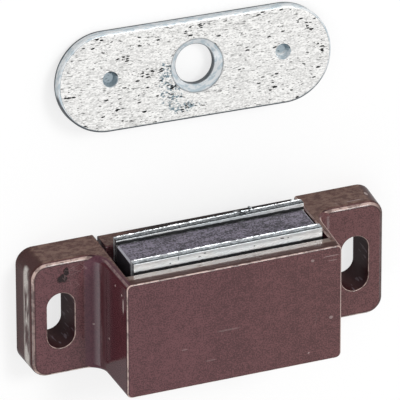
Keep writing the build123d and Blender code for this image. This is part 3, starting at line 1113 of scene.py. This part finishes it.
class CATCH_OT_stage(bpy.types.Operator):
    """Set a plain pale floor, soft lamps and the camera."""

    bl_idname = "catch.stage"
    bl_label = "Stage"

    def execute(self, context):
        stage = context.scene.catch_stage
        self.make_floor(stage)
        self.make_world(context, stage)
        self.make_lamps(stage)
        self.make_camera(context, stage)
        context.scene.view_settings.view_transform = "Standard"
        return {"FINISHED"}

    def make_floor(self, stage):
        """A plain floor just under the catch, white to the camera and dimmer in reflections."""
        bpy.ops.mesh.primitive_plane_add(size=stage.floor_size, location=(0, 0, -FLOOR_GAP))
        floor = bpy.context.active_object
        floor.name = "floor"
        material = bpy.data.materials.new("pale floor")
        material.use_nodes = True
        tree = material.node_tree
        shader = tree.nodes["Principled BSDF"]
        shader.inputs["Roughness"].default_value = 1.0
        shader.inputs["Specular IOR Level"].default_value = 0.0
        shader.inputs["Emission Color"].default_value = (1, 1, 1, 1)
        path = add_node(tree, "ShaderNodeLightPath").outputs
        reflected = biggest(tree, path["Is Glossy Ray"], path["Is Transmission Ray"])
        seen = math_node(tree, "ADD", path["Is Camera Ray"], reflected)
        colour = mix_colour(tree, seen, rgba(stage.floor_colour), rgba(stage.floor_colour, FLOOR_SHADE))
        tree.links.new(colour, shader.inputs["Base Color"])
        glow = add_up(tree, (path["Is Camera Ray"], 1.0), (reflected, FLOOR_REFLECTED))
        tree.links.new(product(tree, glow, FLOOR_GLOW), shader.inputs["Emission Strength"])
        floor.data.materials.append(material)

    def make_world(self, context, stage):
        """Soft light from all round, brightest overhead."""
        world = bpy.data.worlds.new("soft surround")
        world.use_nodes = True
        tree = world.node_tree
        direction = add_node(tree, "ShaderNodeTexCoord").outputs["Generated"]
        parts = split(tree, direction)
        height = math_node(tree, "POWER", biggest(tree, parts["Z"], 0.0), 2.0)
        background = tree.nodes["Background"]
        background.inputs["Color"].default_value = (1, 1, 1, 1)
        inputs = {"Value": height, "To Min": stage.sky_horizon, "To Max": stage.sky_above}
        strength = add_node(tree, "ShaderNodeMapRange", inputs).outputs["Result"]
        # a low light at the left grows towards the horizon
        band = near(tree, parts["Y"], -0.48, 0.06, 0.16)
        leftward = ramp(tree, parts["X"], -0.50, -0.93)
        glow = product(tree, band, leftward, ramp(tree, parts["Z"], 0.0, 0.01))
        strength = add_up(tree, (glow, stage.low_light), (strength, 1.0))
        # the camera sees plain white beyond the floor
        seen = add_node(tree, "ShaderNodeLightPath").outputs["Is Camera Ray"]
        unseen = math_node(tree, "SUBTRACT", 1.0, seen)
        strength = math_node(tree, "ADD", product(tree, strength, unseen), seen)
        tree.links.new(strength, background.inputs["Strength"])
        context.scene.world = world

    def make_lamps(self, stage):
        """A key lamp beyond the mouth, and a soft lamp at the right that draws the upright edges."""
        lamps = (                   # name, direction at 1 m, width and height, power
            ("key lamp", (0.32, 0.48, 0.82), 0.30, 0.30, stage.key_power),
            ("right lamp", (0.78, -0.48, 0.42), 0.20, 0.30, stage.side_power),
        )
        for name, direction, width, height, power in lamps:
            place = Vector(direction).normalized()
            bpy.ops.object.light_add(type="AREA", location=place)
            lamp = bpy.context.active_object
            lamp.name = name
            lamp.rotation_euler = place.to_track_quat("Z", "Y").to_euler()
            lamp.data.shape = "RECTANGLE"
            lamp.data.size = width
            lamp.data.size_y = height
            lamp.data.energy = power

    def make_camera(self, context, stage):
        """The camera, turned and raised from the catch's front face, with +Y upright in view."""
        level = cos(stage.rise)
        back = Vector((sin(stage.turn) * level, sin(stage.rise), cos(stage.turn) * level))
        right = Vector((cos(stage.turn), 0, -sin(stage.turn)))
        basis = Matrix((right, back.cross(right), back)).transposed().to_4x4()
        bpy.ops.object.camera_add()
        camera = bpy.context.active_object
        camera.name = "camera"
        place = Matrix.Translation(Vector(stage.look_at) + back * stage.distance)
        camera.matrix_world = place @ basis @ Matrix.Rotation(stage.roll, 4, "Z")
        camera.data.sensor_width = 36.0
        camera.data.lens = stage.lens
        context.scene.camera = camera


class CATCH_PT_panel(bpy.types.Panel):
    """Lists the catch's pieces and stage."""

    bl_label = "Magnetic Catch"
    bl_idname = "CATCH_PT_panel"
    bl_space_type = "VIEW_3D"
    bl_region_type = "UI"
    bl_category = "Catch"

    def draw(self, context):
        column = self.layout.column(align=True)
        for operator in OPERATORS:
            column.operator(operator.bl_idname)
        for settings in (context.scene.catch_finishes, context.scene.catch_stage):
            box = self.layout.box()
            for name in settings.__annotations__:
                box.prop(settings, name)


OPERATORS = (
    CATCH_OT_moulding,
    CATCH_OT_magnet,
    CATCH_OT_pole_plates,
    CATCH_OT_burrs,
    CATCH_OT_strike_plate,
    CATCH_OT_stage,
)
CLASSES = (CatchFinishes, CatchStage, *OPERATORS, CATCH_PT_panel)


def register():
    """Register the classes and their settings."""
    for cls in CLASSES:
        bpy.utils.register_class(cls)
    bpy.types.Scene.catch_finishes = bpy.props.PointerProperty(type=CatchFinishes)
    bpy.types.Scene.catch_stage = bpy.props.PointerProperty(type=CatchStage)


def unregister():
    """Remove the settings and the classes."""
    del bpy.types.Scene.catch_stage
    del bpy.types.Scene.catch_finishes
    for cls in reversed(CLASSES):
        bpy.utils.unregister_class(cls)


def main():
    """Register the classes, dress the catch and set the stage."""
    register()
    bpy.ops.object.select_all(action="DESELECT")
    bpy.ops.catch.moulding()
    bpy.ops.catch.magnet()
    bpy.ops.catch.pole_plates()
    bpy.ops.catch.burrs()
    bpy.ops.catch.strike_plate()
    bpy.ops.catch.stage()


if __name__ == "__main__":
    main()
